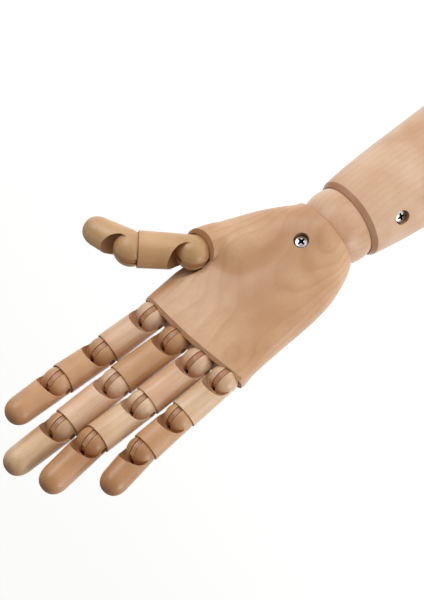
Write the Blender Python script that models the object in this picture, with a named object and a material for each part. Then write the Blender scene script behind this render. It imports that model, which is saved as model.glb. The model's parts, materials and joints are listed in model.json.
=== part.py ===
"""Articulated wooden mannequin hand on a turned forearm, right hand, life size.

World frame: metres, +Z up along the forearm, which stands on its flat base at
Z = 0. The palm faces -Y and the thumb is on the +X side. Every digit segment
has its own frame: origin at its ball's centre, +Z along the segment, -Y on the
side that it bends towards, X along its hinge pin.
"""
from math import asin, atan2, cos, degrees, pi, radians, sin, sqrt

import bmesh
import bpy
from mathutils import Matrix, Vector

MM = 0.001
GAP = 0.3 * MM

# forearm and wrist
FOREARM_LENGTH = 112.0 * MM      # base to the outer edge of the top rim
FOREARM_BASE_RADIUS = 30.0 * MM
FOREARM_RIM_RADIUS = 21.9 * MM
RIM_CHAMFER = 2.8 * MM           # height of the chamfer above the rim edge
RIM_TO_WRIST = 7.6 * MM          # rim edge to the wrist ball's centre
WRIST_BALL_RADIUS = 20.2 * MM
WRIST_BACK_TILT = 7.5            # degrees, palm leaning back at rest
WRIST_SIDE_TILT = -1.5           # degrees, palm leaning towards the little finger side
WRIST_BORE_RADIUS = 7.0 * MM
SPRING_BORE_RADIUS = 5.2 * MM

# spring and its two anchor screws
SPRING_RADIUS = 3.6 * MM
SPRING_WIRE_RADIUS = 0.6 * MM
SPRING_TURNS = 10
SPRING_HALF_LENGTH = 18.0 * MM
HOOK_RADIUS = 2.9 * MM
PALM_SCREW_HEIGHT = 25.5 * MM    # above the wrist ball's centre
PALM_SCREW_SURFACE = 18.0 * MM   # palm face in front of the spring's axis there
FOREARM_SCREW_DROP = 23.5 * MM   # below the wrist ball's centre
FOREARM_SCREW_TURN = 58.5        # degrees round from -Y towards -X
SCREW_HEAD_RADIUS = 3.5 * MM
SCREW_SHANK_RADIUS = 1.75 * MM
SCREW_HEAD_HEIGHT = 2.2 * MM
SCREW_RECESS = 1.5 * MM
COUNTERBORE_RADIUS = 4.0 * MM
SCREW_LENGTH = 30.0 * MM
CROSS_LENGTH = 4.4 * MM
CROSS_WIDTH = 1.2 * MM
CROSS_DEPTH = 1.6 * MM

# ball-and-tongue joints, as fractions of the ball's radius
RIM_BACK = 0.36                  # rim plane behind the ball's centre
MOUTH_RADIUS = 1.11
MOUTH_FORWARD = 0.375
MOUTH_DOWN = 0.64
SLOT_OPEN = 1.06
BACK_SWING = 20.0                # degrees a segment can bend backwards
THUMB_END_BACK_SWING = 33.0
SLOT_DEEP = 0.97
SLOT_SHALLOW = 0.845
TONGUE_WIDE = 0.935
TONGUE_NARROW = 0.80
TONGUE_NECK = 0.50               # half width of the neck
RIM_STEP = 0.45 * MM             # a socket's rim stands this far outside its ball
TONGUE_THICKNESS = 2.6 * MM
TONGUE_ROOT = 4.0 * MM
PIN_RADIUS = 1.5 * MM
PIN_RECESS = 1.7 * MM
PIN_SKIN = 1.6 * MM              # wood left beyond the blind end of a pin's bore

SIDES = 16                       # facets round a digit segment
BALL_RINGS = 8
WRIST_SIDES = 24
WRIST_RINGS = 12

# digits: first ball's centre from the wrist ball's centre in the palm's frame
# and ball radius (millimetres), then for each segment its length and its turn
# from the one before it as (bend, lean, roll) in degrees; bore_side is the X
# side on which its pins go in
FINGERS = {
    "index": dict(
        centre=(24.5, 1.0, 104.3), radius=7.8,
        lengths=(30.5, 28.5, 32.8), turns=((0.0, 1.5, 0.0), (10.5, -1.5, 1.5), (5.0, -5.0, 3.0)),
        bore_side=-1),
    "middle": dict(
        centre=(6.8, 0.7, 103.9), radius=7.9,
        lengths=(37.0, 34.8, 35.4), turns=((2.5, 0.5, 3.5), (1.0, -3.0, 1.5), (5.5, -1.0, 1.0)),
        bore_side=-1),
    "ring": dict(
        centre=(-10.2, 0.2, 102.8), radius=7.8,
        lengths=(35.0, 31.8, 34.2), turns=((2.0, 0.0, 1.0), (5.0, -1.0, 1.0), (-1.0, -7.0, 3.0)),
        bore_side=-1),
    "little": dict(
        centre=(-25.8, 0.0, 98.8), radius=7.5,
        lengths=(29.6, 25.2, 27.5), turns=((-1.0, -2.0, 3.0), (2.0, -1.5, 6.0), (1.0, -8.5, 7.0)),
        bore_side=1),
}
THUMB = dict(
    centre=(33.7, -9.9, 68.5), radius=9.2, pin_axis=(0.093, -0.957, -0.273),
    axis=(0.648, -0.150, 0.745), lengths=(31.6, 27.4),
    turns=((-10.0, 0.0, 0.0), (-30.5, 0.0, 0.0)), bore_side=-1)
THUMB_SOCKET_FACE = (0.10, -0.53, 0.84)
THUMB_RELIEF = 0.8 * MM          # room round the thumb where it swings past the palm
THUMB_SWING = (-6.0, 6.0, 18.0, 30.0)

# palm block outline, one row a station: height above the wrist ball's centre,
# little finger side, thumb side, palm face, back (millimetres), squareness
PALM_STATIONS = (
    (9.0, -19.6, 20.0, -20.4, 20.4, 2.0),
    (12.5, -22.0, 23.0, -20.8, 20.6, 2.0),
    (20.0, -25.6, 27.6, -19.4, 19.0, 2.1),
    (31.0, -29.2, 31.0, -17.0, 16.2, 2.3),
    (45.0, -31.2, 32.8, -14.6, 13.6, 2.5),
    (60.0, -31.8, 33.6, -12.4, 11.8, 2.7),
    (76.0, -32.3, 34.0, -10.4, 10.6, 3.0),
    (90.0, -33.0, 33.4, -8.9, 9.8, 3.4),
    (99.6, -34.2, 32.8, -8.1, 9.4, 3.8),
    (101.5, -34.1, 32.6, -6.0, 9.3, 3.8),
)
KNUCKLE_EDGE_ROWS = 2            # stations that follow the fall of the knuckles
PALM_SIDES = 32
KNUCKLE_FALL = 2.1               # metres^-1, how fast the finger end falls away from the index
KNUCKLE_HIGH_X = 24.5 * MM

# thumb lobe of the palm, one row a station: centre in the palm's frame, half
# width, half depth (millimetres)
LOBE_STATIONS = (
    ((8.0, -2.0, 12.0), 9.0, 10.5),
    ((10.2, -3.0, 17.5), 12.8, 12.5),
    ((16.0, -4.4, 32.0), 15.8, 13.8),
    ((20.6, -5.6, 44.0), 16.0, 13.4),
    ((25.8, -7.0, 54.0), 15.0, 12.4),
    ((31.4, -8.4, 62.0), 12.0, 10.8),
    ((33.8, -9.4, 67.0), 10.4, 10.0),
    ((36.6, -11.0, 74.0), 9.9, 9.6),
)
LOBE_SIDES = 20


def clear_scene():
    for old in list(bpy.data.objects):
        bpy.data.objects.remove(old, do_unlink=True)


def make_material(name, colour, roughness, metallic):
    material = bpy.data.materials.new(name)
    material.use_nodes = True
    shader = material.node_tree.nodes["Principled BSDF"]
    shader.inputs["Base Color"].default_value = (*colour, 1.0)
    shader.inputs["Roughness"].default_value = roughness
    shader.inputs["Metallic"].default_value = metallic
    return material


def make_wood(name, shade=1.0):
    """Clear-finished beech; shade darkens one piece a little against the next."""
    return make_material(name + "_wood", (0.60 * shade, 0.37 * shade, 0.215 * shade), 0.42, 0.0)


def make_steel(name):
    return make_material(name + "_steel", (0.62, 0.62, 0.64), 0.25, 1.0)


def grid_mesh(rows, closed_ends=True):
    """A closed skin over rows of points; a row of one point is a pole."""
    mesh = bpy.data.meshes.new("solid")
    points = [p for row in rows for p in row]
    starts = []
    total = 0
    for row in rows:
        starts.append(total)
        total += len(row)
    faces = []
    for i in range(len(rows) - 1):
        a, b = rows[i], rows[i + 1]
        count = max(len(a), len(b))
        for j in range(count):
            k = (j + 1) % count
            if len(a) == 1:
                faces.append((starts[i], starts[i + 1] + k, starts[i + 1] + j))
            elif len(b) == 1:
                faces.append((starts[i] + j, starts[i] + k, starts[i + 1]))
            else:
                faces.append((starts[i] + j, starts[i] + k, starts[i + 1] + k, starts[i + 1] + j))
    if closed_ends and len(rows[0]) > 1:
        faces.append(tuple(range(len(rows[0]) - 1, -1, -1)))
    if closed_ends and len(rows[-1]) > 1:
        faces.append(tuple(starts[-1] + j for j in range(len(rows[-1]))))
    mesh.from_pydata([tuple(p) for p in points], [], faces)
    work = bmesh.new()
    work.from_mesh(mesh)
    bmesh.ops.recalc_face_normals(work, faces=work.faces)
    work.to_mesh(mesh)
    work.free()
    return mesh


def turned(profile, sides):
    """Turn a profile of (radius, height) round Z; radius 0 closes it at a pole."""
    rows = []
    for radius, height in profile:
        if radius == 0.0:
            rows.append([Vector((0.0, 0.0, height))])
        else:
            ring = [2.0 * pi * j / sides for j in range(sides)]
            rows.append([Vector((radius * cos(a), radius * sin(a), height)) for a in ring])
    return grid_mesh(rows)


def ball(radius, sides, rings):
    arc = [pi * i / rings for i in range(rings + 1)]
    profile = [(radius * sin(a), -radius * cos(a)) for a in arc]
    profile[0] = (0.0, -radius)
    profile[-1] = (0.0, radius)
    return turned(profile, sides)


def hollow_ball(radius, sides, rings):
    """A cutter ball whose flat facets stay outside the given radius."""
    grow = 1.0 / (cos(pi / sides) * cos(pi / rings / 2.0))
    return ball(radius * grow, sides, rings)


def rod(radius, start, end, sides):
    return turned([(radius, start), (radius, end)], sides)


def plate(outline, thickness):
    """A flat plate across X from an outline of (y, z) points."""
    half = thickness / 2.0
    rows = [[Vector((x, y, z)) for y, z in outline] for x in (-half, half)]
    return grid_mesh(rows)


def block(size, centre):
    (sx, sy, sz), (cx, cy, cz) = size, centre
    corners = [(cy - sy / 2, cz - sz / 2), (cy + sy / 2, cz - sz / 2),
               (cy + sy / 2, cz + sz / 2), (cy - sy / 2, cz + sz / 2)]
    mesh = plate(corners, sx)
    mesh.transform(Matrix.Translation((cx, 0.0, 0.0)))
    return mesh


def make_solid(name, mesh):
    solid = bpy.data.objects.new(name, mesh)
    mesh.name = name
    bpy.context.scene.collection.objects.link(solid)
    return solid


def combine(solid, mesh, operation, frame=None):
    """Add or cut away a mesh, in the solid's own axes, with an exact Boolean."""
    if frame is not None:
        mesh.transform(frame)
    tool = make_solid("tool", mesh)
    tool.parent = solid
    step = solid.modifiers.new("step", "BOOLEAN")
    step.operation = operation
    step.solver = "EXACT"
    step.object = tool
    bpy.context.view_layer.update()
    graph = bpy.context.evaluated_depsgraph_get()
    result = bpy.data.meshes.new_from_object(solid.evaluated_get(graph))
    solid.modifiers.remove(step)
    before = solid.data
    solid.data = result
    result.name = solid.name
    bpy.data.meshes.remove(before)
    bpy.data.objects.remove(tool, do_unlink=True)
    bpy.data.meshes.remove(mesh)


def cut(solid, mesh, frame=None):
    combine(solid, mesh, "DIFFERENCE", frame)


def fuse(solid, mesh, frame=None):
    combine(solid, mesh, "UNION", frame)


def place(solid, material, parent, local):
    """Give a solid its finish and set it in its parent's frame."""
    solid.data.materials.clear()
    solid.data.materials.append(material)
    solid.parent = parent
    solid.matrix_local = local


def tidy_meshes():
    """Merge slivers, leave triangles only and shade the round faces smooth."""
    for solid in bpy.data.objects:
        work = bmesh.new()
        work.from_mesh(solid.data)
        bmesh.ops.remove_doubles(work, verts=work.verts, dist=0.000002)
        bmesh.ops.dissolve_limit(work, angle_limit=0.002, verts=work.verts, edges=work.edges)
        bmesh.ops.triangulate(work, faces=work.faces)
        work.to_mesh(solid.data)
        work.free()
        solid.data.shade_smooth()
        solid.data.set_sharp_from_angle(angle=radians(30.0))


def point(values):
    return Vector(values) * MM


def turn(axis, angle):
    return Matrix.Rotation(radians(angle), 4, axis)


def frame_from(centre, x_axis, z_axis):
    """A frame at centre with the given X, and Z as near z_axis as it can be."""
    x = Vector(x_axis).normalized()
    z = Vector(z_axis)
    z = (z - x * x.dot(z)).normalized()
    y = z.cross(x)
    rotation = Matrix((x, y, z)).transposed().to_4x4()
    return Matrix.Translation(centre) @ rotation


def arc_points(radius, start, end, step=15.0):
    """Points (y, z) round the hinge; angles run from -Z by way of -Y."""
    count = max(1, round(abs(end - start) / step))
    spread = [radians(start + (end - start) * i / count) for i in range(count + 1)]
    return [(-radius * sin(a), -radius * cos(a)) for a in spread]


def slot_outline(radius, back_swing):
    """Open from behind the neck round the palm side, closed at the back."""
    start = -36.0 - back_swing
    return (arc_points(SLOT_OPEN * radius, start, 190.0)
            + arc_points(SLOT_DEEP * radius, 190.0, 235.0)
            + arc_points(SLOT_SHALLOW * radius, 235.0, 360.0 + start - 2.0))


def tongue_outline(radius):
    wide = TONGUE_WIDE * radius
    narrow = TONGUE_NARROW * radius
    neck = TONGUE_NECK * radius
    root = -radius - GAP - TONGUE_ROOT
    front = degrees(asin(neck / wide))
    back = degrees(asin(neck / narrow))
    return ([(-neck, root)]
            + arc_points(wide, front, 145.0)
            + arc_points(narrow, 145.0, 360.0 - back)
            + [(neck, root)])


def cut_socket(solid, frame, radius):
    """The spherical cup for the next ball and the mortise for its tongue.

    The frame is in the solid's own axes, which its placing doesn't change.
    """
    cut(solid, hollow_ball(radius + GAP, SIDES, BALL_RINGS), frame)
    deep = TONGUE_ROOT + radius
    size = (TONGUE_THICKNESS + 2 * GAP, 2 * (TONGUE_NECK * radius + GAP), deep)
    centre = (0.0, 0.0, -radius - 2 * GAP - TONGUE_ROOT + deep / 2)
    cut(solid, block(size, centre), frame)


def cut_bore(solid, radius, side):
    """The pin's bore: open on one side, blind on the other."""
    start, end = -(radius - PIN_SKIN), 1.5 * radius
    mesh = rod(PIN_RADIUS + GAP, start, end, 12)
    cut(solid, mesh, turn("Y", 90.0 * side))


def segment_profile(radius, end_radius, length, tip):
    """Half outline of a segment; it starts just inside its own ball."""
    start = [(0.0, -0.3 * radius), (0.90 * radius, -0.3 * radius), (0.985 * radius, 0.1 * radius),
             (radius, 0.35 * radius)]
    if not tip:
        return start + [(end_radius, length), (0.0, length)]
    shoulder = length - 1.25 * end_radius
    outline = start + [(end_radius, shoulder)]
    for step in range(1, 6):
        share = sin(pi / 2 * step / 5)
        reach = (1.0 - share ** 2.3) ** (1 / 2.3)
        outline.append((end_radius * reach, shoulder + (length - shoulder) * share))
    outline[-1] = (0.0, length)
    return outline


def make_segment(name, radius, length, next_radius, side, tip_radius, back_swing):
    """One wooden segment: ball, body, mouth, slot, bore, and end face or rounded tip."""
    tip = next_radius is None
    if tip:
        profile = segment_profile(radius, tip_radius, length, True)
    else:
        end = length - RIM_BACK * next_radius
        profile = segment_profile(radius, next_radius + RIM_STEP, end, False)
    solid = make_solid(name, turned(profile, SIDES))
    mouth = Matrix.Translation((0.0, -MOUTH_DOWN * radius, MOUTH_FORWARD * radius))
    cut(solid, ball(MOUTH_RADIUS * radius, SIDES, BALL_RINGS), mouth)
    fuse(solid, ball(radius, SIDES, BALL_RINGS))
    cut(solid, plate(slot_outline(radius, back_swing), TONGUE_THICKNESS + 2 * GAP))
    cut_bore(solid, radius, side)
    return solid


def make_tongue(name, radius):
    solid = make_solid(name, plate(tongue_outline(radius), TONGUE_THICKNESS))
    cut(solid, rod(PIN_RADIUS + GAP, -radius, radius, 12), turn("Y", 90.0))
    return solid


def make_pin(name, radius, side):
    start, end = -(radius - PIN_SKIN - GAP), radius - PIN_RECESS
    solid = make_solid(name, rod(PIN_RADIUS, start, end, 12))
    solid.data.transform(turn("Y", 90.0 * side))
    return solid


def make_digit(name, palm, start, digit):
    """The segments, tongues and pins of one digit, each under the one before.

    A tongue is set in the piece before it by that piece's lean and roll alone;
    its segment then bends from it about the pin.
    """
    lengths, turns, side = digit["lengths"], digit["turns"], digit["bore_side"]
    radius = digit["radius"] * MM
    last = len(lengths) - 1
    parts = ("proximal", "middle", "distal") if last == 2 else ("proximal", "distal")
    joints = ("knuckle", "middle", "end") if last == 2 else ("knuckle", "end")
    tip_radius = radius * (0.86 if name == "thumb" else 0.95)
    parent = palm
    mount = start
    for index, part in enumerate(parts):
        bend, lean, roll = turns[index]
        set_in = mount @ turn("Z", roll) @ turn("Y", lean)
        cut_socket(parent, set_in, radius)
        length = lengths[index] * MM
        cup_radius = None if index == last else radius
        shade = 1.0 - 0.05 * ((index + len(name)) % 3)
        back_swing = THUMB_END_BACK_SWING if name == "thumb" and index == last else BACK_SWING
        segment = make_segment(name + "_" + part, radius, length, cup_radius, side, tip_radius,
                               back_swing)
        joint = name + "_" + joints[index]
        tongue = make_tongue(joint + "_tongue", radius)
        pin = make_pin(joint + "_pin", radius, side)
        place(segment, make_wood(segment.name, shade), parent, set_in @ turn("X", bend))
        place(tongue, make_wood(tongue.name, 0.85), parent, set_in)
        place(pin, make_wood(pin.name, 0.7), segment, Matrix.Identity(4))
        parent = segment
        mount = Matrix.Translation((0.0, 0.0, length))


def squared(angle, power):
    """Unit superellipse point; power 2 is a circle, more is squarer."""
    c, s = cos(angle), sin(angle)
    size = (abs(c) ** power + abs(s) ** power) ** (-1.0 / power)
    return c * size, s * size


def palm_ring(height, low_x, high_x, face_y, back_y, power, falls):
    ring = []
    for j in range(PALM_SIDES):
        u, v = squared(2.0 * pi * j / PALM_SIDES, power)
        x = (low_x + high_x) / 2 + (high_x - low_x) / 2 * u
        y = v * (back_y if v > 0 else -face_y)
        z = height
        if falls:
            z -= KNUCKLE_FALL * (KNUCKLE_HIGH_X / MM - x) ** 2 * MM
        ring.append(Vector((x, y, z)) * MM)
    return ring


def lobe_ring(centre, half_width, half_depth, along):
    """An ellipse across the lobe; its width runs level with the palm."""
    across = Vector((along.z, 0.0, -along.x)).normalized()
    depth = along.cross(across)
    ring = []
    for j in range(LOBE_SIDES):
        a = 2.0 * pi * j / LOBE_SIDES
        ring.append((Vector(centre) + across * half_width * cos(a) + depth * half_depth * sin(a)) * MM)
    return ring


def make_palm(thumb_start):
    """The palm block with its thumb lobe and the room that the thumb swings in."""
    edge = len(PALM_STATIONS) - KNUCKLE_EDGE_ROWS
    rows = [palm_ring(*row, falls=(i >= edge)) for i, row in enumerate(PALM_STATIONS)]
    solid = make_solid("palm", grid_mesh(rows))
    radius = THUMB["radius"] * MM
    fuse(solid, make_lobe_mesh(radius))
    bend = THUMB["turns"][0][0]
    for swing in THUMB_SWING:
        thumb_room = rod(radius + THUMB_RELIEF, 0.0, 45.0 * MM, 16)
        cut(solid, thumb_room, thumb_start @ turn("X", bend + swing))
    return solid


def make_lobe_mesh(thumb_radius):
    """The lobe under the thumb, cut off flat where the thumb's socket opens."""
    centres = [Vector(row[0]) for row in LOBE_STATIONS]
    rows = []
    for i, (centre, half_width, half_depth) in enumerate(LOBE_STATIONS):
        along = (centres[min(i + 1, len(centres) - 1)] - centres[max(i - 1, 0)]).normalized()
        rows.append(lobe_ring(centre, half_width, half_depth, along))
    lobe = make_solid("lobe", grid_mesh(rows))
    size = (60 * MM, 60 * MM, 30 * MM)
    outward = Vector(THUMB_SOCKET_FACE)
    face = frame_from(point(THUMB["centre"]), outward.cross(Vector((0.0, 1.0, 0.0))), outward)
    cut(lobe, block(size, (0.0, 0.0, 15 * MM - RIM_BACK * thumb_radius)), face)
    mesh = lobe.data
    bpy.data.objects.remove(lobe, do_unlink=True)
    return mesh


def screw_frame(centre, outward):
    """A frame on a screw's axis whose Z points out of the wood."""
    outward = Vector(outward).normalized()
    return frame_from(centre, outward.cross(Vector((0.0, 0.0, 1.0))), outward)


def cut_screw_hole(solid, frame, surface):
    """Counterbore and shank hole; surface is how far out the wood reaches."""
    seat = surface - SCREW_RECESS - SCREW_HEAD_HEIGHT - GAP
    cut(solid, rod(COUNTERBORE_RADIUS, seat, surface + 10 * MM, 24), frame)
    foot = surface - SCREW_RECESS - SCREW_LENGTH - GAP
    cut(solid, rod(SCREW_SHANK_RADIUS + GAP, foot, surface, 12), frame)


def make_screw(name, surface):
    """Pan head screw with a cross recess, its Z pointing out of the head."""
    top = surface - SCREW_RECESS
    under = top - SCREW_HEAD_HEIGHT
    profile = [(0.0, top - SCREW_LENGTH), (SCREW_SHANK_RADIUS, top - SCREW_LENGTH + 2.5 * MM),
               (SCREW_SHANK_RADIUS, under), (SCREW_HEAD_RADIUS, under),
               (SCREW_HEAD_RADIUS, under + 1.0 * MM), (0.8 * SCREW_HEAD_RADIUS, top - 0.4 * MM),
               (0.4 * SCREW_HEAD_RADIUS, top), (0.0, top)]
    solid = make_solid(name, turned(profile, 16))
    arm, web = CROSS_LENGTH / 2.0, CROSS_WIDTH / 2.0
    quarter = [(arm, -web), (arm, web), (web, web)]
    outline = []
    for step in range(4):
        c, s = round(cos(pi / 2 * step)), round(sin(pi / 2 * step))
        outline += [(c * y - s * z, s * y + c * z) for y, z in quarter]
    cross = Matrix.Translation((0.0, 0.0, top)) @ turn("Y", 90.0)
    cut(solid, plate(outline, 2.0 * CROSS_DEPTH), cross)
    return solid


def make_forearm(wrist_height, screw_place, surface):
    """The turned forearm, its cup, spring bore and screw hole."""
    rim = FOREARM_LENGTH
    mouth = rim + RIM_CHAMFER
    lip = sqrt((WRIST_BALL_RADIUS + GAP) ** 2 - (wrist_height - mouth) ** 2) + 0.2 * MM
    profile = [(0.0, 0.0), (FOREARM_BASE_RADIUS - 1.0 * MM, 0.0), (FOREARM_BASE_RADIUS, 1.0 * MM)]
    for share in (0.25, 0.5, 0.75, 0.9, 0.97, 1.0):
        profile.append((forearm_radius(rim * share), rim * share))
    profile += [(lip, mouth), (0.0, mouth)]
    solid = make_solid("forearm", turned(profile, WRIST_SIDES))
    centre = Matrix.Translation((0.0, 0.0, wrist_height))
    cut(solid, hollow_ball(WRIST_BALL_RADIUS + GAP, WRIST_SIDES, WRIST_RINGS), centre)
    bore_foot = wrist_height - FOREARM_SCREW_DROP - 9.0 * MM
    cut(solid, rod(SPRING_BORE_RADIUS, bore_foot, wrist_height, 16))
    cut_screw_hole(solid, screw_place, surface)
    return solid


def forearm_radius(height):
    """A straight taper that pulls in a little faster near the top rim."""
    share = height / FOREARM_LENGTH
    taper = FOREARM_BASE_RADIUS + (FOREARM_RIM_RADIUS + 1.6 * MM - FOREARM_BASE_RADIUS) * share
    return taper - 1.6 * MM * share ** 8


def make_wrist_ball():
    solid = make_solid("wrist_ball", ball(WRIST_BALL_RADIUS, WRIST_SIDES, WRIST_RINGS))
    cut(solid, rod(WRIST_BORE_RADIUS, -2 * WRIST_BALL_RADIUS, 2 * WRIST_BALL_RADIUS, 16))
    return solid


def spring_path(palm_turn, low_axis):
    """The wire's centre line about the wrist ball's centre, from hook to hook.

    Each hook is most of a circle round its screw; the coil between them runs
    up the forearm's axis and then the palm's.
    """
    up = palm_turn @ Vector((0.0, 0.0, 1.0))
    low_eye = Vector((0.0, 0.0, -FOREARM_SCREW_DROP))
    high_eye = palm_turn @ Vector((0.0, 0.0, PALM_SCREW_HEIGHT))
    low_side = low_axis.cross(Vector((0.0, 0.0, 1.0))).normalized()
    high_side = palm_turn @ Vector((1.0, 0.0, 0.0))
    path = []
    for i in range(9):
        a = radians(-60.0 - 240.0 * (1 - i / 8) + 90.0)
        path.append(low_eye + HOOK_RADIUS * (low_side * cos(a) + Vector((0.0, 0.0, 1.0)) * sin(a)))
    steps = SPRING_TURNS * 8
    for i in range(steps + 1):
        along = -SPRING_HALF_LENGTH + 2 * SPRING_HALF_LENGTH * i / steps
        centre = (up if along > 0 else Vector((0.0, 0.0, 1.0))) * along
        a = 2.0 * pi * SPRING_TURNS * i / steps + atan2(low_side.y, low_side.x)
        path.append(centre + SPRING_RADIUS * Vector((cos(a), sin(a), 0.0)))
    for i in range(9):
        a = radians(-60.0 + 240.0 * i / 8)
        path.append(high_eye + HOOK_RADIUS * (high_side * cos(a) + up * sin(a)))
    return path


def make_wire(name, path, radius, sides):
    """Carry a small ring along a path, turning it as little as possible."""
    rows = []
    side = Vector((0.0, 1.0, 0.3))
    for i, here in enumerate(path):
        along = (path[min(i + 1, len(path) - 1)] - path[max(i - 1, 0)]).normalized()
        side = (side - along * side.dot(along)).normalized()
        other = along.cross(side)
        ring = [2.0 * pi * j / sides for j in range(sides)]
        rows.append([here + radius * (side * cos(a) + other * sin(a)) for a in ring])
    return make_solid(name, grid_mesh(rows))


def build():
    clear_scene()
    wrist_height = FOREARM_LENGTH + RIM_TO_WRIST
    wrist = Matrix.Translation((0.0, 0.0, wrist_height))
    palm_turn = turn("X", -WRIST_BACK_TILT) @ turn("Y", WRIST_SIDE_TILT)
    identity = Matrix.Identity(4)

    screw_angle = radians(FOREARM_SCREW_TURN)
    low_axis = Vector((-sin(screw_angle), -cos(screw_angle), 0.0))
    low_place = screw_frame(Vector((0.0, 0.0, wrist_height - FOREARM_SCREW_DROP)), low_axis)
    low_surface = forearm_radius(wrist_height - FOREARM_SCREW_DROP)
    forearm = make_forearm(wrist_height, low_place, low_surface)
    place(forearm, make_wood("forearm"), None, identity)
    low_screw = make_screw("forearm_screw", low_surface)
    place(low_screw, make_steel("forearm_screw"), forearm, low_place)

    spring = make_wire("wrist_spring", spring_path(palm_turn.to_3x3(), low_axis),
                       SPRING_WIRE_RADIUS, 5)
    place(spring, make_steel("wrist_spring"), forearm, wrist)
    wrist_ball = make_wrist_ball()
    place(wrist_ball, make_wood("wrist_ball", 0.95), spring, identity)

    thumb_start = frame_from(point(THUMB["centre"]), THUMB["pin_axis"], THUMB["axis"])
    thumb_start = thumb_start @ turn("X", -THUMB["turns"][0][0])
    palm = make_palm(thumb_start)
    place(palm, make_wood("palm"), wrist_ball, palm_turn)
    cut(palm, hollow_ball(WRIST_BALL_RADIUS + GAP, WRIST_SIDES, WRIST_RINGS))
    cut(palm, rod(SPRING_BORE_RADIUS, 0.0, PALM_SCREW_HEIGHT + 8.0 * MM, 16))
    high_place = screw_frame(Vector((0.0, 0.0, PALM_SCREW_HEIGHT)), (0.0, -1.0, 0.0))
    cut_screw_hole(palm, high_place, PALM_SCREW_SURFACE)
    high_screw = make_screw("palm_screw", PALM_SCREW_SURFACE)
    place(high_screw, make_steel("palm_screw"), palm, high_place)

    for name, finger in FINGERS.items():
        make_digit(name, palm, Matrix.Translation(point(finger["centre"])), finger)
    make_digit("thumb", palm, thumb_start, THUMB)
    tidy_meshes()


build()
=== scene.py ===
import json
from math import asin, degrees, pi, radians

import bpy
import numpy as np
from mathutils import Matrix, Vector


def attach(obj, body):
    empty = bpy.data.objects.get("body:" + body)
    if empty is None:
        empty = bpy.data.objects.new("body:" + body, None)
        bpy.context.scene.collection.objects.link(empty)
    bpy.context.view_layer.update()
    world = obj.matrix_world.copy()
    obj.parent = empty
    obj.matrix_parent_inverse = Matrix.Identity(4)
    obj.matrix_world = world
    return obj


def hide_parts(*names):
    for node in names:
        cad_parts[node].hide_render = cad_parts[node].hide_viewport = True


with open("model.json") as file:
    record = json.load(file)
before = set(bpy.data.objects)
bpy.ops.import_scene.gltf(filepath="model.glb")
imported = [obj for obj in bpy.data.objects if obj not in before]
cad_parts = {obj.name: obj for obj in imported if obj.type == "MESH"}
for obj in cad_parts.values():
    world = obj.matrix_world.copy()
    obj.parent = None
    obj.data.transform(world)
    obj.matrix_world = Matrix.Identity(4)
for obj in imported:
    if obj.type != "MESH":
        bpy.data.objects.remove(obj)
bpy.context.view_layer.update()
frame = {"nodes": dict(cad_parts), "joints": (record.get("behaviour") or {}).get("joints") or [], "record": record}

mm = 0.001

# A jointed beech hand. Every wooden piece is worked out in its own frame (origin
# at its ball's centre, +Z along the grain, -Y on the side it bends towards, X
# along its hinge pin), carved there, and then set on the frame's joints.

def meshFrom(name, points, faces):
    # Points and faces become a mesh whose faces point out: the signed volume
    # of the fan from the origin to each face is positive.
    mesh = bpy.data.meshes.new(name)
    mesh.from_pydata(points.tolist(), [], faces)
    mesh.calc_loop_triangles()
    corner = np.empty(len(mesh.loop_triangles) * 3, np.int32)
    mesh.loop_triangles.foreach_get("vertices", corner)
    a, b, c = points[corner.reshape(-1, 3)].transpose(1, 0, 2)
    if np.einsum("ij,ij->", a, np.cross(b, c)) < 0:
        mesh.flip_normals()
    return mesh


def skin(name, rows, ends=None):
    # Loops of points (row, along the loop, xyz) joined into a closed skin; each
    # end loop is closed by a fan to its middle, or to the two points given.
    rows = np.asarray(rows, float)
    count, around = rows.shape[:2]
    ends = (rows[0].mean(0), rows[-1].mean(0)) if ends is None else ends
    points = np.vstack([rows.reshape(-1, 3), ends[0], ends[1]])
    i, j = np.meshgrid(np.arange(count - 1), np.arange(around), indexing="ij")
    k = (j + 1) % around
    below, above = i * around, (i + 1) * around
    quads = np.stack([below + j, below + k, above + k, above + j], -1)
    j = np.arange(around)
    k = (j + 1) % around
    low = np.stack([np.full(around, count * around), k, j], -1)
    last = (count - 1) * around
    high = np.stack([np.full(around, count * around + 1), last + j, last + k], -1)
    faces = quads.reshape(-1, 4).tolist() + low.tolist() + high.tolist()
    return meshFrom(name, points * mm, faces)


def turned(name, profile, sides):
    # A profile of (radius, height) in mm carried round Z: (r cos a, r sin a, h).
    radius, height = np.asarray(profile, float).T
    a = 2 * pi * np.arange(sides) / sides
    rows = np.stack([np.outer(radius, np.cos(a)), np.outer(radius, np.sin(a)),
                     np.outer(height, np.ones(sides))], -1)
    ends = (np.array((0, 0, height[0])), np.array((0, 0, height[-1])))
    return skin(name, rows, ends)


def rounded(corners, radii, count=6):
    # A polyline whose corners are cut by quadratic curves that start and end
    # the given distance from each corner.
    corners = [np.array(c, float) for c in corners]
    line = [corners[0]]
    for before, here, after, reach in zip(corners, corners[1:], corners[2:], radii):
        a = here + (before - here) * min(0.5, reach / max(np.linalg.norm(before - here), 1e-9))
        b = here + (after - here) * min(0.5, reach / max(np.linalg.norm(after - here), 1e-9))
        t = np.linspace(0, 1, count)[:, None]
        line += list((1 - t) ** 2 * a + 2 * t * (1 - t) * here + t ** 2 * b)
    return np.array(line + [corners[-1]])


def ballMesh(radius, sides=64, rings=40):
    # A half circle of (r sin a, -r cos a) carried round Z.
    a = np.linspace(0, pi, rings + 1)[1:-1]
    profile = np.stack([radius * np.sin(a), -radius * np.cos(a)], -1)
    low, high = [(1e-3, -radius)], [(1e-3, radius)]
    return turned("ball", np.vstack([low, profile, high]), sides)


def rodMesh(radius, start, end, sides=48):
    # A straight line beside Z carried round it.
    return turned("rod", [(radius, start), (radius, end)], sides)


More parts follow.
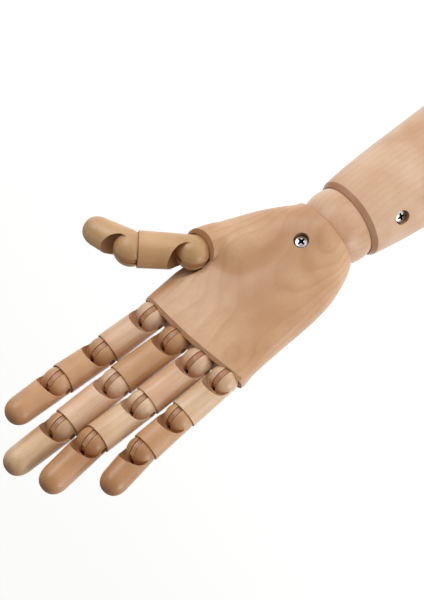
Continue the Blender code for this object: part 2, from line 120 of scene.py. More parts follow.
def plateMesh(outline, thickness, rounding=0.0):
    # An outline of (y, z) carried across X, drawn in a little at both faces.
    outline = np.asarray(outline, float)
    half = thickness / 2
    length = np.linalg.norm(outline, axis=1, keepdims=True)
    inner = outline * (1 - rounding / length)
    steps = [(-half, inner), (-half + rounding, outline), (half - rounding, outline), (half, inner)]
    if rounding == 0:
        steps = [(-half, outline), (half, outline)]
    rows = [np.column_stack([np.full(len(line), x), line]) for x, line in steps]
    return skin("plate", rows, (np.array((-half, 0, 0)), np.array((half, 0, 0))))


def boxMesh(size, centre):
    # A rectangle across X and Y carried up Z.
    (sx, sy, sz), (cx, cy, cz) = size, centre
    corners = np.array([(-1, -1), (1, -1), (1, 1), (-1, 1)]) / 2
    rows = [np.column_stack([cx + corners[:, 0] * sx, cy + corners[:, 1] * sy, np.full(4, z)])
            for z in (cz - sz / 2, cz + sz / 2)]
    return skin("box", rows)


def frameFrom(origin, x, z):
    # Origin in mm, X as given, Z as near as it can be, Y to make it right-handed.
    x = np.array(x, float) / np.linalg.norm(x)
    z = np.array(z, float)
    z = z - x * x.dot(z)
    z = z / np.linalg.norm(z)
    matrix = np.eye(4)
    matrix[:3, 0], matrix[:3, 1], matrix[:3, 2] = x, np.cross(z, x), z
    matrix[:3, 3] = np.asarray(origin, float) * mm
    return Matrix(matrix.tolist())


def turn(axis, angle):
    return Matrix.Rotation(radians(angle), 4, axis)


def shift(x, y, z):
    return Matrix.Translation((x * mm, y * mm, z * mm))


def pieceFrom(name, mesh):
    piece = bpy.data.objects.new(name, mesh)
    mesh.name = name
    bpy.context.scene.collection.objects.link(piece)
    return piece


def applied(piece):
    # Puts the modifiers' result into the mesh.
    bpy.context.view_layer.update()
    graph = bpy.context.evaluated_depsgraph_get()
    done = bpy.data.meshes.new_from_object(piece.evaluated_get(graph))
    piece.modifiers.clear()
    old, piece.data = piece.data, done
    done.name = piece.name
    bpy.data.meshes.remove(old)


def carve(piece, mesh, place=None, way="DIFFERENCE"):
    if place is not None:
        mesh.transform(place)
    tool = pieceFrom("tool", mesh)
    step = piece.modifiers.new("carve", "BOOLEAN")
    step.operation = way
    step.solver = "MANIFOLD"
    step.object = tool
    applied(piece)
    bpy.data.objects.remove(tool)
    bpy.data.meshes.remove(mesh)


def sand(piece, voxel, rounds):
    # Even small faces, then a few rounds of smoothing, which take the
    # sharpness off every edge as sandpaper does.
    even = piece.modifiers.new("even", "REMESH")
    even.mode = "VOXEL"
    even.voxel_size = voxel * mm
    even.use_smooth_shade = True
    soft = piece.modifiers.new("soft", "SMOOTH")
    soft.factor = 0.5
    soft.iterations = rounds
    applied(piece)


def finishPiece(piece, place, body, node, material, smoothAngle=None):
    # Sets a piece in the part's frame with its place in its mesh.
    piece.data.transform(place)
    piece.data.materials.clear()
    piece.data.materials.append(material)
    piece.data.shade_smooth()
    if smoothAngle is not None:
        piece.data.set_sharp_from_angle(angle=radians(smoothAngle))
    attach(piece, body)
    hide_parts(node)


def linear(hexColour):
    # sRGB hex to a linear colour.
    value = np.array([int(hexColour[i:i + 2], 16) for i in (1, 3, 5)]) / 255
    value = np.where(value <= 0.04045, value / 12.92, ((value + 0.055) / 1.055) ** 2.4)
    return (*value.tolist(), 1.0)


def newMaterial(name):
    material = bpy.data.materials.new(name)
    material.use_nodes = True
    tree = material.node_tree
    tree.nodes.clear()
    output = tree.nodes.new("ShaderNodeOutputMaterial")
    shader = tree.nodes.new("ShaderNodeBsdfPrincipled")
    tree.links.new(shader.outputs[0], output.inputs[0])
    return material, tree, shader


def add(tree, kind, inputs, stops=(), **settings):
    # One node with its settings, its inputs as values or as other nodes'
    # outputs, and a colour ramp's stops as (place, sRGB hex or grey).
    node = tree.nodes.new("ShaderNode" + kind)
    for key, value in settings.items():
        setattr(node, key, value)
    for socket, value in inputs.items():
        if isinstance(value, bpy.types.NodeSocket):
            tree.links.new(value, node.inputs[socket])
        else:
            node.inputs[socket].default_value = value
    for number, (place, colour) in enumerate(stops):
        elements = node.color_ramp.elements
        element = elements[number] if number < 2 else elements.new(place)
        element.position = place
        element.color = linear(colour) if isinstance(colour, str) else (colour, colour, colour, 1)
    return node


woodTones = {                       # light and dark colour of the wood, sRGB
    "pink": ("#E3C1A3", "#C99A73"),
    "pale": ("#E6CBAB", "#CDA680"),
    "tan": ("#D2A67B", "#B17F53"),
    "honey": ("#C39365", "#9E6B40"),
    "grey": ("#D6B48F", "#B78C64"),
    "umber": ("#D2AB7D", "#AC8253"),
    "palm": ("#DAB088", "#BB8A60"),
}
wood = dict(
    ringSpacing=3.4,        # mm between growth rings in this slow-grown beech
    fibreWidth=0.42,        # mm; the real fibres are 0.02 mm, drawn as coarse as they need to show
    fibreLength=14.0,       # mm
    fleckWidth=0.35,        # mm, the short dark dashes where rays are cut lengthways
    fleckLength=2.2,        # mm
    cloud=26.0,             # mm across a patch of lighter or redder wood
    endGrain="#9A5E3C",     # end grain drinks the varnish and goes redder
    # across one ring: pale early wood, a soft darker line, then pale again
    ringStops=((0.0, 0.0), (0.45, 0.15), (0.84, 1.0), (1.0, 0.0)),
    ringLine="#A9733F", fleck="#8A5430",
    warpScale=0.022,        # one bend of the rings in about 45 mm
    roughness=0.42, coat=0.32, coatRoughness=0.24)


woodCuts = {                        # how each kind of piece was sawn from the trunk
    "stick": dict(swing=6.0, rings=0.13, fibres=0.42, flecks=0.34, ends=((0.55, 0.0), (0.97, 0.62))),
    "palm": dict(swing=17.0, rings=0.24, fibres=0.40, flecks=0.30, ends=((0.62, 0.0), (0.97, 0.60))),
    "forearm": dict(swing=6.0, rings=0.09, fibres=0.30, flecks=0.26, ends=((0.30, 0.0), (0.52, 0.62))),
}


def makeBeech(name, tone, place, pith, seed, cut="stick"):
    # Turned beech under satin varnish: a pale pinkish tan with fine straight
    # fibres, short dark flecks, soft growth rings and redder end grain.
    # The pattern is turned and centred on the piece, with its grain along Z.
    material, tree, shader = newMaterial(name)
    light, dark = (linear(colour) for colour in woodTones[tone])
    sawn = woodCuts[cut]
    back = place.inverted()
    coordinates = add(tree, "TexCoord", {})
    local = add(tree, "Mapping", {"Vector": coordinates.outputs["Object"],
                                  "Location": Vector(back.translation) * 1000,
                                  "Rotation": back.to_euler(),
                                  "Scale": (1000, 1000, 1000)}).outputs[0]
    # each piece comes from its own stretch of the trunk, off its pith
    moved = add(tree, "VectorMath", {0: local, 1: (pith[0], pith[1], 37.0 * seed)}).outputs[0]

    # the trunk's rings, bent by slow noise
    warp = add(tree, "TexNoise", {"Vector": moved, "Scale": wood["warpScale"], "Detail": 1.5})
    middle = (0.5, 0.5, 0.5)
    swing = add(tree, "VectorMath", {0: warp.outputs["Color"], 1: middle}, operation="SUBTRACT")
    sideways = (sawn["swing"], sawn["swing"], 0.0)
    swing = add(tree, "VectorMath", {0: swing.outputs[0], 1: sideways}, operation="MULTIPLY")
    bent = add(tree, "VectorMath", {0: moved, 1: swing.outputs[0]}).outputs[0]
    # a wave texture repeats every 2 pi / 20 at scale 1, here once in each ring
    rings = add(tree, "TexWave", {"Vector": bent, "Scale": 2 * pi / (20 * wood["ringSpacing"]),
                                  "Distortion": 1.2, "Detail": 2.0, "Detail Scale": 0.6},
                wave_type="RINGS", rings_direction="Z", wave_profile="SAW")
    ringLine = add(tree, "ValToRGB", {0: rings.outputs["Fac"]}, wood["ringStops"]).outputs[0]

    # fibres and flecks run along the grain
    thin, long = 1 / wood["fibreWidth"], 1 / wood["fibreLength"]
    along = add(tree, "VectorMath", {0: moved, 1: (thin, thin, long)}, operation="MULTIPLY").outputs[0]
    fibre = add(tree, "TexNoise", {"Vector": along, "Scale": 1.0, "Detail": 4.0, "Roughness": 0.62})
    fibreTone = add(tree, "ValToRGB", {0: fibre.outputs["Fac"]}, [(0.32, 0.0), (0.68, 1.0)]).outputs[0]
    thin, long = 1 / wood["fleckWidth"], 1 / wood["fleckLength"]
    along = add(tree, "VectorMath", {0: moved, 1: (thin, thin, long)}, operation="MULTIPLY").outputs[0]
    fleck = add(tree, "TexNoise", {"Vector": along, "Scale": 1.0, "Detail": 1.0})
    fleckTone = add(tree, "ValToRGB", {0: fleck.outputs["Fac"]}, [(0.66, 0.0), (0.76, 1.0)]).outputs[0]
    cloud = add(tree, "TexNoise", {"Vector": moved, "Scale": 1 / wood["cloud"], "Detail": 2.0})
    cloudTone = add(tree, "ValToRGB", {0: cloud.outputs["Fac"]}, [(0.3, 0.0), (0.7, 1.0)]).outputs[0]

    base = add(tree, "Mix", {0: cloudTone, 6: light, 7: dark}, data_type="RGBA").outputs[2]
    soft = add(tree, "Math", {0: fibreTone, 1: sawn["fibres"]}, operation="MULTIPLY").outputs[0]
    base = add(tree, "Mix", {0: soft, 6: base, 7: dark}, data_type="RGBA").outputs[2]
    soft = add(tree, "Math", {0: ringLine, 1: sawn["rings"]}, operation="MULTIPLY").outputs[0]
    line = linear(wood["ringLine"])
    base = add(tree, "Mix", {0: soft, 6: base, 7: line}, data_type="RGBA").outputs[2]
    soft = add(tree, "Math", {0: fleckTone, 1: sawn["flecks"]}, operation="MULTIPLY").outputs[0]
    base = add(tree, "Mix", {0: soft, 6: base, 7: linear(wood["fleck"])}, data_type="RGBA").outputs[2]

    # end grain: where the surface faces along the grain
    axis = place.to_3x3() @ Vector((0, 0, 1))
    facing = add(tree, "VectorMath", {0: coordinates.outputs["Normal"], 1: tuple(axis)},
                 operation="DOT_PRODUCT").outputs["Value"]
    facing = add(tree, "Math", {0: facing}, operation="ABSOLUTE").outputs[0]
    endTone = add(tree, "ValToRGB", {0: facing}, sawn["ends"]).outputs[0]
    ends = linear(wood["endGrain"])
    base = add(tree, "Mix", {0: endTone, 6: base, 7: ends}, data_type="RGBA").outputs[2]

    tree.links.new(base, shader.inputs["Base Color"])
    rough = add(tree, "MapRange", {"Value": fibre.outputs["Fac"], "To Min": wood["roughness"] - 0.07,
                                   "To Max": wood["roughness"] + 0.10}).outputs[0]
    tree.links.new(rough, shader.inputs["Roughness"])
    bump = add(tree, "Bump", {"Height": fibre.outputs["Fac"], "Strength": 0.16, "Distance": 0.00012})
    tree.links.new(bump.outputs[0], shader.inputs["Normal"])
    shader.inputs["IOR"].default_value = 1.5
    shader.inputs["Coat Weight"].default_value = wood["coat"]
    shader.inputs["Coat Roughness"].default_value = wood["coatRoughness"]
    return material


def makeSteel(name, colour, roughness, place, top=None):
    # Zinc-plated or drawn steel: a bright, slightly cloudy metal with fine uneven
    # wear. With the height of a screw's top, its cross is painted near-black as painted shade in its recess.
    material, tree, shader = newMaterial(name)
    back = place.inverted()
    coordinates = add(tree, "TexCoord", {}).outputs["Object"]
    local = add(tree, "Mapping", {"Vector": coordinates, "Location": Vector(back.translation) * 1000,
                                  "Rotation": back.to_euler(), "Scale": (1000, 1000, 1000)}).outputs[0]
    marks = add(tree, "TexNoise", {"Vector": local, "Scale": 3.0, "Detail": 3.0})
    shades = ((0.3, screw["zincPale"]), (0.75, colour))
    wearAndPaintedShade = add(tree, "ValToRGB", {0: marks.outputs["Fac"]}, shades).outputs[0]
    if top is not None:
        # painted shade: the driver's cross is painted near-black below the head's top, out to its arms, in place
        # of the shade in its recess
        height = add(tree, "SeparateXYZ", {0: local}).outputs["Z"]
        lid, foot = top - screw["crossTop"], top - screw["headHeight"]
        low = add(tree, "Math", {0: height, 1: lid}, operation="LESS_THAN").outputs[0]
        high = add(tree, "Math", {0: height, 1: foot}, operation="GREATER_THAN").outputs[0]
        flat = add(tree, "VectorMath", {0: local, 1: (1, 1, 0)}, operation="MULTIPLY").outputs[0]
        reach = add(tree, "VectorMath", {0: flat}, operation="LENGTH").outputs["Value"]
        arm = screw["crossLength"] / 2 + 0.1
        near = add(tree, "Math", {0: reach, 1: arm}, operation="LESS_THAN").outputs[0]
        both = add(tree, "Math", {0: low, 1: high}, operation="MULTIPLY").outputs[0]
        both = add(tree, "Math", {0: both, 1: near}, operation="MULTIPLY").outputs[0]
        paintedShade = linear(screw["crossPaintedShade"])
        wearAndPaintedShade = add(tree, "Mix", {0: both, 6: wearAndPaintedShade, 7: paintedShade}, data_type="RGBA").outputs[2]
    tree.links.new(wearAndPaintedShade, shader.inputs["Base Color"])
    shader.inputs["Metallic"].default_value = 1.0
    rough = add(tree, "MapRange", {"Value": marks.outputs["Fac"], "To Min": roughness,
                                   "To Max": roughness + 0.18}).outputs[0]
    tree.links.new(rough, shader.inputs["Roughness"])
    bump = add(tree, "Bump", {"Height": marks.outputs["Fac"], "Strength": 0.08, "Distance": 0.0001})
    tree.links.new(bump.outputs[0], shader.inputs["Normal"])
    return material


jointAt = {j["name"]: j for j in frame["joints"]}
bodyOf = {node: body for body, nodes in frame["record"]["behaviour"]["bodies"].items()
          for node in nodes}


def nodePoints(node):
    mesh = frame["nodes"][node].data
    flat = np.empty(len(mesh.vertices) * 3, np.float32)
    mesh.vertices.foreach_get("co", flat)
    return flat.reshape(-1, 3).astype(float) * 1000


def jointNames(digit):
    ends = ("knuckle", "middle_joint", "end_joint") if digit != "thumb" else ("knuckle", "end_joint")
    return [f"{digit}_{end}" for end in ends]


def segmentNames(digit):
    ends = ("proximal", "middle", "distal") if digit != "thumb" else ("proximal", "distal")
    return [f"{digit}_{end}" for end in ends]


def tongueNames(digit):
    ends = ("knuckle", "middle", "end") if digit != "thumb" else ("knuckle", "end")
    return [f"{digit}_{end}_tongue" for end in ends]


def digitFrames(digit):
    # Each segment's frame and length: Z runs from its ball to the next ball,
    # or to the far end of the fingertip.
    joints = [jointAt[name] for name in jointNames(digit)]
    centres = [np.array(j["pos_m"]) * 1000 for j in joints]
    tip = nodePoints(segmentNames(digit)[-1])
    apex = tip[np.argmax(np.linalg.norm(tip - centres[-1], axis=1))]
    reaches = centres[1:] + [apex]
    return [(frameFrom(c, j["axis"], e - c), float(np.linalg.norm(e - c)))
            for c, j, e in zip(centres, joints, reaches)]


wristCentre = np.array(jointAt["wrist_flex"]["pos_m"]) * 1000


digits = {
    "index": dict(radius=7.8, bends=(0.0, 10.5, 5.0), boreSide=-1, tipShare=0.95,
                  tones=("pink", "tan", "tan")),
    "middle": dict(radius=7.9, bends=(2.5, 1.0, 5.5), boreSide=-1, tipShare=0.95,
                   tones=("tan", "pink", "grey")),
    "ring": dict(radius=7.8, bends=(2.0, 5.0, -1.0), boreSide=-1, tipShare=0.95,
                 tones=("pink", "pale", "honey")),
    "little": dict(radius=7.5, bends=(-1.0, 2.0, 1.0), boreSide=1, tipShare=0.95,
                   tones=("pale", "tan", "honey")),
    "thumb": dict(radius=9.2, bends=(-10.0, -30.5), boreSide=-1, tipShare=0.86,
                  tones=("umber", "umber")),
}
joint = dict(                       # shares of the ball's radius unless in mm
    rimBack=0.36, mouthRadius=1.11, mouthForward=0.375, mouthDown=0.64,
    slotOpen=1.06, slotDeep=0.97, slotShallow=0.845, backSwing=20.0, thumbEndBackSwing=33.0,
    tongueWide=0.935, tongueNarrow=0.80, tongueNeck=0.50, gap=0.3, rimStep=0.45,
    tongueThickness=2.6, tongueEdge=0.12, tongueRoot=4.0, pinRadius=1.5, pinSkin=1.6,
    neck=((0.90, -0.3), (0.985, 0.1), (1.0, 0.35)), rimEdge=0.35,
    tipPower=2.3, tipLength=1.25,     # a fingertip's bluntness and its length in tip radii
    voxel=0.27, sanding=3, sides=96)


def hingeArc(radius, start, end, step=3.0):
    # Points (y, z) round a hinge; angles run from -Z by way of -Y.
    count = max(2, int(abs(end - start) / step) + 1)
    a = np.radians(np.linspace(start, end, count))
    return np.stack([-radius * np.sin(a), -radius * np.cos(a)], -1)


def slotOutline(radius, backSwing):
    # Three arcs: open to the front and over the top, shallower behind.
    start = -36.0 - backSwing
    return np.vstack([hingeArc(joint["slotOpen"] * radius, start, 190.0),
                      hingeArc(joint["slotDeep"] * radius, 190.0, 235.0),
                      hingeArc(joint["slotShallow"] * radius, 235.0, 358.0 + start)])


def tongueOutline(radius):
    # A neck below the hinge under two arcs, the wider one in front.
    wide, narrow, neck = (joint[key] * radius for key in ("tongueWide", "tongueNarrow", "tongueNeck"))
    root = -radius - joint["gap"] - joint["tongueRoot"]
    front, back = degrees(asin(neck / wide)), degrees(asin(neck / narrow))
    return np.vstack([[(-neck, root)], hingeArc(wide, front, 145.0),
                      hingeArc(narrow, 145.0, 360.0 - back), [(neck, root)]])


def segmentProfile(radius, endRadius, length, tip):
    # Half outline of a segment from inside its ball to its rim or fingertip.
    # The tip is a superellipse quarter, so it is blunt.
    start = [(x * radius, z * radius) for x, z in joint["neck"]]
    if not tip:
        corners = start + [(endRadius, length), (0.5 * endRadius, length)]
        return rounded(corners, (0.3, 0.5, joint["rimEdge"]))
    shoulder = length - joint["tipLength"] * endRadius
    body = np.linspace(start[-1], (endRadius, shoulder), 20)
    a = np.linspace(0, pi / 2, 40)[1:-1]
    power = joint["tipPower"]
    reach = (1 - np.sin(a) ** power) ** (1 / power)
    curve = np.stack([endRadius * reach, shoulder + (length - shoulder) * np.sin(a)], -1)
    return np.vstack([start[:2], body, curve, [(0.05, length)]])


def cutSocket(piece, place, radius):
    # The cup for the next ball and the mortise for its tongue.
    gap = joint["gap"]
    carve(piece, ballMesh(radius + gap, 96, 48), place)
    deep = joint["tongueRoot"] + radius
    size = (joint["tongueThickness"] + 2 * gap, 2 * (joint["tongueNeck"] * radius + gap), deep)
    carve(piece, boxMesh(size, (0, 0, -radius - 2 * gap - joint["tongueRoot"] + deep / 2)), place)


def makeSegment(name, digit, index, frames, seed):
    made = digits[digit]
    radius = made["radius"]
    place, length = frames[index]
    tip = index == len(frames) - 1
    if tip:
        profile = segmentProfile(radius, made["tipShare"] * radius, length, True)
    else:
        rim = length - joint["rimBack"] * radius
        profile = segmentProfile(radius, radius + joint["rimStep"], rim, False)
    piece = pieceFrom(name, turned(name, profile, joint["sides"]))
    mouth = shift(0, -joint["mouthDown"] * radius, joint["mouthForward"] * radius)
    carve(piece, ballMesh(joint["mouthRadius"] * radius, 96, 48), mouth)
    carve(piece, ballMesh(radius, 96, 48), way="UNION")
    backSwing = joint["thumbEndBackSwing"] if digit == "thumb" and tip else joint["backSwing"]
    slotWidth = joint["tongueThickness"] + 2 * joint["gap"]
    carve(piece, plateMesh(slotOutline(radius, backSwing), slotWidth))
    bore = rodMesh(joint["pinRadius"] + joint["gap"], -(radius - joint["pinSkin"]), 1.5 * radius)
    carve(piece, bore, turn("Y", 90 * made["boreSide"]))
    if not tip:
        nextPlace = frames[index + 1][0] @ turn("X", -made["bends"][index + 1])
        cutSocket(piece, place.inverted() @ nextPlace, radius)
    sand(piece, joint["voxel"], joint["sanding"])
    pith = (30.0 + 9.0 * (seed % 4), 22.0 - 11.0 * (seed % 3))
    material = makeBeech(name + "_beech", made["tones"][index], place, pith, seed)
    finishPiece(piece, place, bodyOf[name], name, material)


def makeTongue(name, digit, index, frames, seed):
    made = digits[digit]
    radius = made["radius"]
    place = frames[index][0] @ turn("X", -made["bends"][index])
    plate = plateMesh(tongueOutline(radius), joint["tongueThickness"], joint["tongueEdge"])
    piece = pieceFrom(name + "_piece", plate)
    carve(piece, rodMesh(joint["pinRadius"] + joint["gap"], -radius, radius), turn("Y", 90))
    material = makeBeech(name + "_beech", "tan", place @ turn("X", 90), (12.0, 31.0), seed)
    finishPiece(piece, place, bodyOf[name], name, material, 35)


def keepPin(name, place, seed):
    # The dowel pins are right as they are and only need their wood.
    node = frame["nodes"][name]
    node.data.materials.clear()
    dowel = makeBeech(name + "_beech", "umber", place @ turn("Y", 90), (8.0, 5.0), seed)
    node.data.materials.append(dowel)


palm = dict(
    tilt=turn("X", -7.5) @ turn("Y", -1.5),
    # height above the wrist, little finger side, thumb side, palm face, back, squareness
    stations=((9.0, -19.6, 20.0, -20.4, 20.4, 2.0), (12.5, -22.0, 23.0, -20.8, 20.6, 2.0),
              (20.0, -25.6, 27.6, -19.4, 19.0, 2.1), (31.0, -29.2, 31.0, -17.0, 16.2, 2.3),
              (45.0, -31.2, 32.8, -14.6, 13.6, 2.5), (60.0, -31.8, 33.6, -12.4, 11.8, 2.7),
              (76.0, -32.3, 34.0, -10.4, 10.6, 3.0), (90.0, -33.0, 33.4, -8.9, 9.8, 3.4),
              (99.6, -34.2, 32.8, -8.1, 9.4, 3.8)),
    fingerEnd=(101.5, -34.1, 32.6, -6.0, 9.3, 3.8),
    # thumb lobe: centre, half width, half depth
    lobe=((8.0, -2.0, 12.0, 9.0, 10.5), (10.2, -3.0, 17.5, 12.8, 12.5),
          (16.0, -4.4, 32.0, 15.8, 13.8), (20.6, -5.6, 44.0, 16.0, 13.4),
          (25.8, -7.0, 54.0, 15.0, 12.4), (31.4, -8.4, 62.0, 12.0, 10.8),
          (33.8, -9.4, 67.0, 10.4, 10.0), (36.6, -11.0, 74.0, 9.9, 9.6)),
    # the lobe's last stretch, which keeps a thin rim round the thumb's ball
    collar=((22.4, -5.8, 46.0, 13.8, 12.4), (29.6, -7.4, 54.5, 11.2, 11.4),
            (33.0, -8.8, 62.0, 10.5, 10.5), (34.3, -9.7, 67.0, 10.1, 10.1),
            (36.6, -11.0, 74.0, 9.9, 9.9)),
    thumbCentre=(33.7, -9.9, 68.5), trim=5.3,
    fall=0.0021, highX=24.5,          # how the finger end drops away from the index
    blend=9.0,                        # mm over which the lobe flows into the palm face
    soften=110,                       # rounds of smoothing on the palm face
    lobeTop=80.0,                     # height above which there is only the block
    blendFrom=(11.0, 19.0),           # heights over which the blend sets in
    blendTo=(58.0, 74.0),             # and over which it fades towards the thumb's cup
    blendKept=0.3,                    # share of the blend left at the cup
    outerSide=0.92,                   # past this sideways share the lobe's outer edge stays crisp
    faceShare=(3.0, 0.3),             # how fast the smoothing sets in on the palm face
    fadeOut=12.0,                     # mm below the finger end where the smoothing ends
    fallFrom=76.0,                    # height where the drop away from the index starts
    heelRound=0.8, heelRadius=20.0, rows=150, around=288,
    socketFace=(0.10, -0.53, 0.84), thumbRelief=0.8, thumbSwing=(-6, 0, 6, 12, 18, 24, 30),
    wristRadius=20.2, springBore=5.2, screwHeight=25.5, screwSurface=18.6)


def smoothRows(table, heights):
    # Each column of a table read at new heights along a cubic that passes
    # through the rows with the slope between each row's neighbours.
    table = np.asarray(table, float)
    key = table[:, 0]
    slope = np.gradient(table, key, axis=0)
    i = np.clip(np.searchsorted(key, heights) - 1, 0, len(key) - 2)
    h = (key[i + 1] - key[i])[:, None]
    t = ((heights - key[i])[:, None]) / h
    return ((2 * t ** 3 - 3 * t ** 2 + 1) * table[i] + (t ** 3 - 2 * t ** 2 + t) * h * slope[i]
            + (3 * t ** 2 - 2 * t ** 3) * table[i + 1] + (t ** 3 - t ** 2) * h * slope[i + 1])


def lobeFrames(table, count):
    # The lobe as a run of ellipses along a curve: centres, axes, half sizes.
    table = np.array([(i,) + row for i, row in enumerate(table)], float)
    fine = smoothRows(table, np.linspace(0, len(table) - 1, count))[:, 1:]
    centre, wide, deep = fine[:, :3], fine[:, 3], fine[:, 4]
    along = np.gradient(centre, axis=0)
    along /= np.linalg.norm(along, axis=1, keepdims=True)
    across = np.stack([along[:, 2], 0 * wide, -along[:, 0]], -1)
    across /= np.linalg.norm(across, axis=1, keepdims=True)
    return centre, along, across, np.cross(along, across), wide, deep


def lobeReach(x, y, z, directions):
    # How far out from (x, y, z) along each direction in the level plane the
    # thumb lobe's skin lies, short of the plane where the thumb's cup opens.
    reach = np.arange(0, 64, 0.5)
    points = np.array((x, y, z)) + directions[:, None, :] * reach[None, :, None]
    inside = np.zeros(points.shape[:2])
    for c, along, across, depth, wide, deep in zip(*lobeFrames(palm["lobe"], 90)):
        local = points - c
        value = (local @ across / wide) ** 2 + (local @ depth / deep) ** 2 + (local @ along / 1.6) ** 2
        inside = np.maximum(inside, 1.0 - value)
    outward = np.array(palm["socketFace"]) / np.linalg.norm(palm["socketFace"])
    inside[(points - np.array(palm["thumbCentre"])) @ outward > -palm["trim"]] = 0
    hit = inside > 0
    last = hit.shape[1] - 1 - np.argmax(hit[:, ::-1], axis=1)
    return np.where(hit.any(axis=1), reach[last] + 0.25, 0)


def collarMesh():
    # Ellipses centre + w cos(a) across + d sin(a) depth, carried along the curve.
    centre, along, across, depth, wide, deep = lobeFrames(palm["collar"], 40)
    a = 2 * pi * np.arange(120) / 120
    rows = [c + np.outer(np.cos(a) * w, s) + np.outer(np.sin(a) * d, t)
            for c, s, t, w, d in zip(centre, across, depth, wide, deep)]
    return skin("collar", rows)


def palmLoop(row):
    # One level loop of the palm about its middle: directions, and how far out
    # the skin is: the softened greater of a superellipse and the thumb lobe.
    height, lowX, highX, face, back, power = row
    a = 2 * pi * np.arange(palm["around"]) / palm["around"]
    size = (np.abs(np.cos(a)) ** power + np.abs(np.sin(a)) ** power) ** (-1 / power)
    v = np.sin(a) * size
    out = np.stack([(highX - lowX) / 2 * np.cos(a) * size, v * np.where(v > 0, back, -face)], -1)
    own = np.linalg.norm(out, axis=1)
    out /= own[:, None]
    if height > palm["lobeTop"]:
        return out, own
    directions = np.column_stack([out, np.zeros(len(a))])
    lobe = lobeReach((lowX + highX) / 2, 0.0, height, directions)
    lobe = np.convolve(np.concatenate([lobe[-3:], lobe, lobe[:3]]), np.ones(7) / 7, "valid")
    near = np.maximum(palm["blend"] - np.abs(own - lobe), 0) / palm["blend"]
    (start, full), (fading, end) = palm["blendFrom"], palm["blendTo"]
    near *= np.clip((height - start) / (full - start), 0, 1) * np.clip(-1.6 * out[:, 1], 0, 1)
    near *= np.clip((end - height) / (end - fading), palm["blendKept"], 1)
    near *= out[:, 0] < palm["outerSide"]
    return out, np.maximum(own, lobe) + near ** 2 * palm["blend"] / 4


def palmRows():
    # Loops up the palm, softened on the palm face, with the heel rounded and
    # the finger end dropping away from the index.
    low, high = palm["stations"][0][0], palm["stations"][-1][0]
    table = smoothRows(palm["stations"], np.linspace(low, high, palm["rows"]))
    loops = [palmLoop(row) for row in table]
    out = np.array([loop[0] for loop in loops])
    reach = np.array([loop[1] for loop in loops])
    soft = reach.copy()
    for _ in range(palm["soften"]):
        wide = np.pad(np.pad(soft, ((1, 1), (0, 0)), "edge"), ((0, 0), (1, 1)), "wrap")
        soft = (4 * soft + wide[:-2, 1:-1] + wide[2:, 1:-1] + wide[1:-1, :-2] + wide[1:-1, 2:]) / 8
    steep, late = palm["faceShare"]
    share = np.clip(-steep * out[:, :, 1] - late, 0, 1)
    share = share * np.clip((high - table[:, :1]) / palm["fadeOut"], 0, 1)
    reach += share * (soft - reach)
    inset = np.clip(palm["heelRound"] - (table[:, :1] - low), 0, None)
    shrink = palm["heelRound"] - np.sqrt(palm["heelRound"] ** 2 - inset ** 2)
    reach *= 1 - shrink / palm["heelRadius"]
    points = np.stack([table[:, 1:2] / 2 + table[:, 2:3] / 2 + out[:, :, 0] * reach,
                       out[:, :, 1] * reach, table[:, :1] + 0 * reach], -1)
    end = palm["fingerEnd"]
    endOut, endReach = palmLoop(end)
    endRow = np.column_stack([(end[1] + end[2]) / 2 + endOut[:, 0] * endReach, endOut[:, 1] * endReach,
                              np.full(len(endReach), end[0])])
    points = np.concatenate([points, endRow[None]])
    share = np.clip((points[:, :, 2] - palm["fallFrom"]) / (high - palm["fallFrom"]), 0, 1)
    points[:, :, 2] -= palm["fall"] * (palm["highX"] - points[:, :, 0]) ** 2 * share
    return points


def screwHole(piece, place, surface):
    # Counterbore and shank hole of one anchor screw.
    seat = surface - screw["recess"] - screw["headHeight"] - joint["gap"]
    carve(piece, rodMesh(screw["counterbore"], seat, surface + 10, 64), place)
    foot = surface - screw["recess"] - screw["length"] - joint["gap"]
    carve(piece, rodMesh(screw["shank"] + joint["gap"], foot, surface), place)


def makePalm(fingerFrames, screwPlace):
    place = shift(*wristCentre) @ palm["tilt"]
    back = place.inverted()
    piece = pieceFrom("palm_piece", skin("palm", palmRows()))
    thumb = fingerFrames["thumb"][0][0] @ turn("X", -digits["thumb"]["bends"][0])
    centre = (back @ thumb).translation * 1000
    outward = np.array(palm["socketFace"])
    face = frameFrom(centre, np.cross(outward, (0, 1, 0)), outward)
    radius = digits["thumb"]["radius"]
    collar = pieceFrom("collar", collarMesh())
    carve(collar, boxMesh((70, 70, 40), (0, 0, 20 - joint["rimBack"] * radius)), face)
    carve(piece, collar.data.copy(), way="UNION")
    bpy.data.objects.remove(collar)
    for swing in palm["thumbSwing"]:
        room = rodMesh(radius + palm["thumbRelief"], 0, 45, 96)
        carve(piece, room, back @ thumb @ turn("X", digits["thumb"]["bends"][0] + swing))
    carve(piece, ballMesh(palm["wristRadius"] + joint["gap"], 160, 90))
    carve(piece, rodMesh(palm["springBore"], 0, palm["screwHeight"] + 8))
    screwHole(piece, back @ screwPlace, palm["screwSurface"])
    for digit, frames in fingerFrames.items():
        knuckle = frames[0][0] @ turn("X", -digits[digit]["bends"][0])
        cutSocket(piece, back @ knuckle, digits[digit]["radius"])
    material = makeBeech("palm_beech", "palm", place, (14.0, 58.0), 5, "palm")
    finishPiece(piece, place, "palm", "palm", material, 32)


forearm = dict(length=112.0, baseRadius=30.0, rimRadius=21.9, chamfer=2.8, shoulder=1.6,
               screwDrop=23.5, screwTurn=58.5, springBore=5.2, ballBore=7.0, sides=192)
screw = dict(headRadius=3.5, shank=1.75, headHeight=2.2, recess=1.5, counterbore=4.0, length=30.0,
             crossLength=4.4, crossWidth=1.2, crossDepth=1.6, crossTop=0.35,
             # the cross colour is painted shade: near-black drawn into each screw's cross recess
             crossPaintedShade="#0E0C0B", zinc="#B4B6B9", zincPale="#D9DADC", wire="#7D7F83")


def forearmRadius(height):
    # A straight taper that pulls in faster near the top rim.
    share = height / forearm["length"]
    base, shoulder = forearm["baseRadius"], forearm["shoulder"]
    return base + (forearm["rimRadius"] + shoulder - base) * share - shoulder * share ** 8


